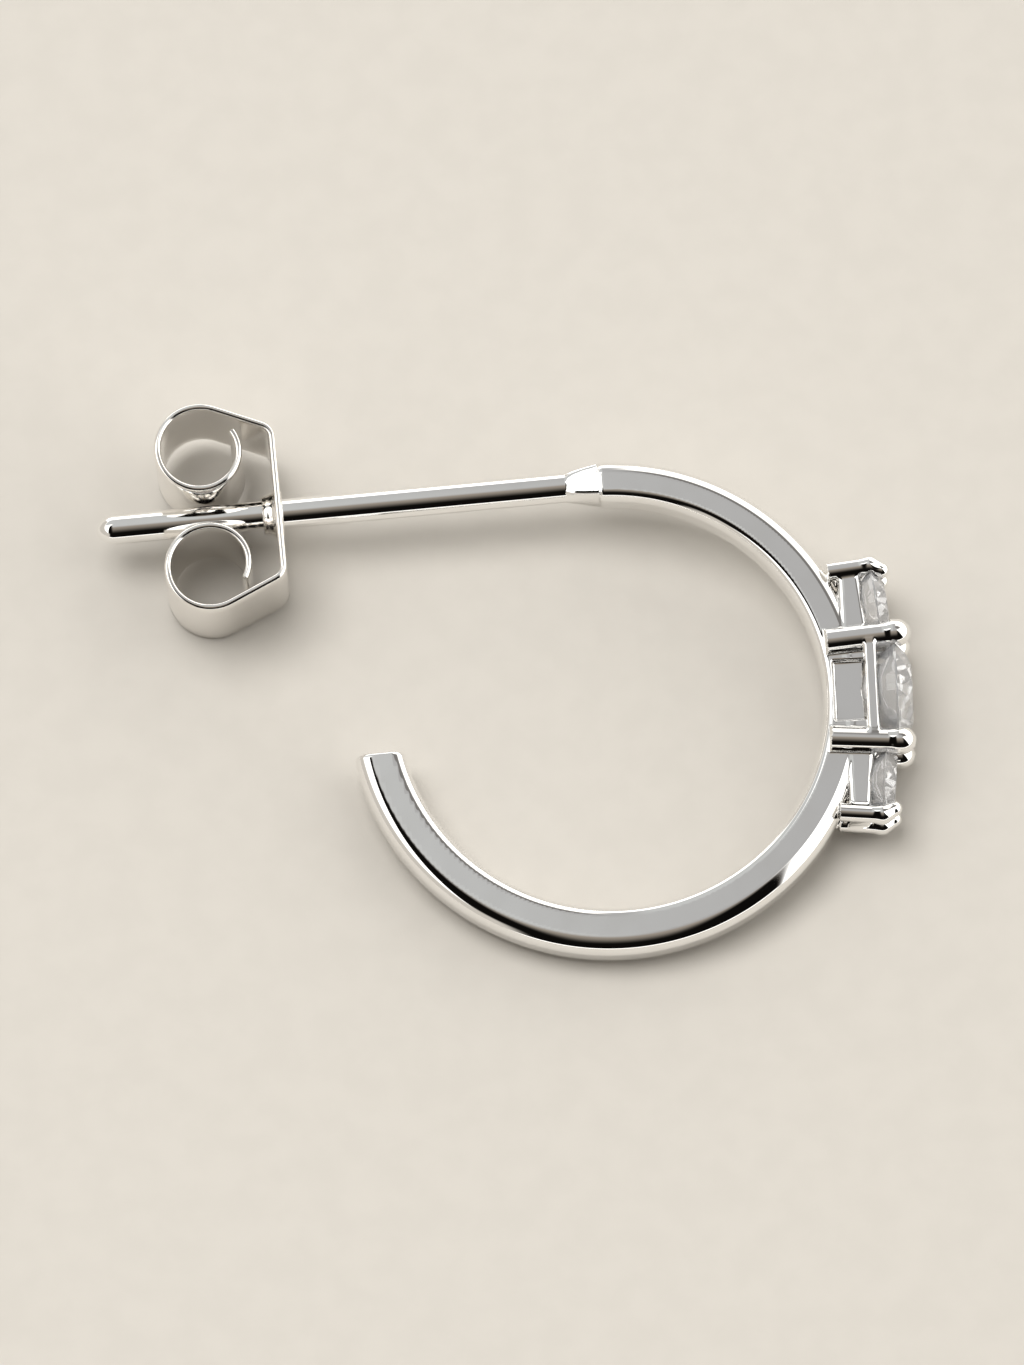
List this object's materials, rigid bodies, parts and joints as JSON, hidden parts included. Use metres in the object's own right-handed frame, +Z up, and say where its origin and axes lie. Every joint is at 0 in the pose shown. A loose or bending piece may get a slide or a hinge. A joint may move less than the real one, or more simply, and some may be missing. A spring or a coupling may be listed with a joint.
{
  "type": "c-hoop earring",
  "caption": "C-shaped silver hoop earring with a straight ear post, a claw-set head of round clear stones across its front and a butterfly back that slides on the post.",
  "frame": {"origin": "under the middle of the resting earring, on the surface it lies on", "axes": "+X from the post's tip towards the stones, +Y across the hoop from its free end towards the post, +Z up; the earring lies on its side, leaned onto one scroll of the back, the centre stone and the band's edge"},
  "size_m": [0.0188, 0.0142, 0.0029],
  "materials": {
    "silver": "mirror-polished silver",
    "back_silver": "polished silver sheet, rolled",
    "crystal": "clear round brilliant"
  },
  "bodies": {
    "earring": {"hoop": "silver", "centre_stone": "crystal", "upper_side_stone": "crystal", "lower_side_stone": "crystal"},
    "back": {"butterfly_back": "back_silver"}
  },
  "joints": [
    {"name": "back_slide", "type": "slide", "parent": "earring", "child": "back", "axis": [-0.9997, 0.0011, -0.0231], "range_m": [-0.0066, 0.0045]}
  ]
}
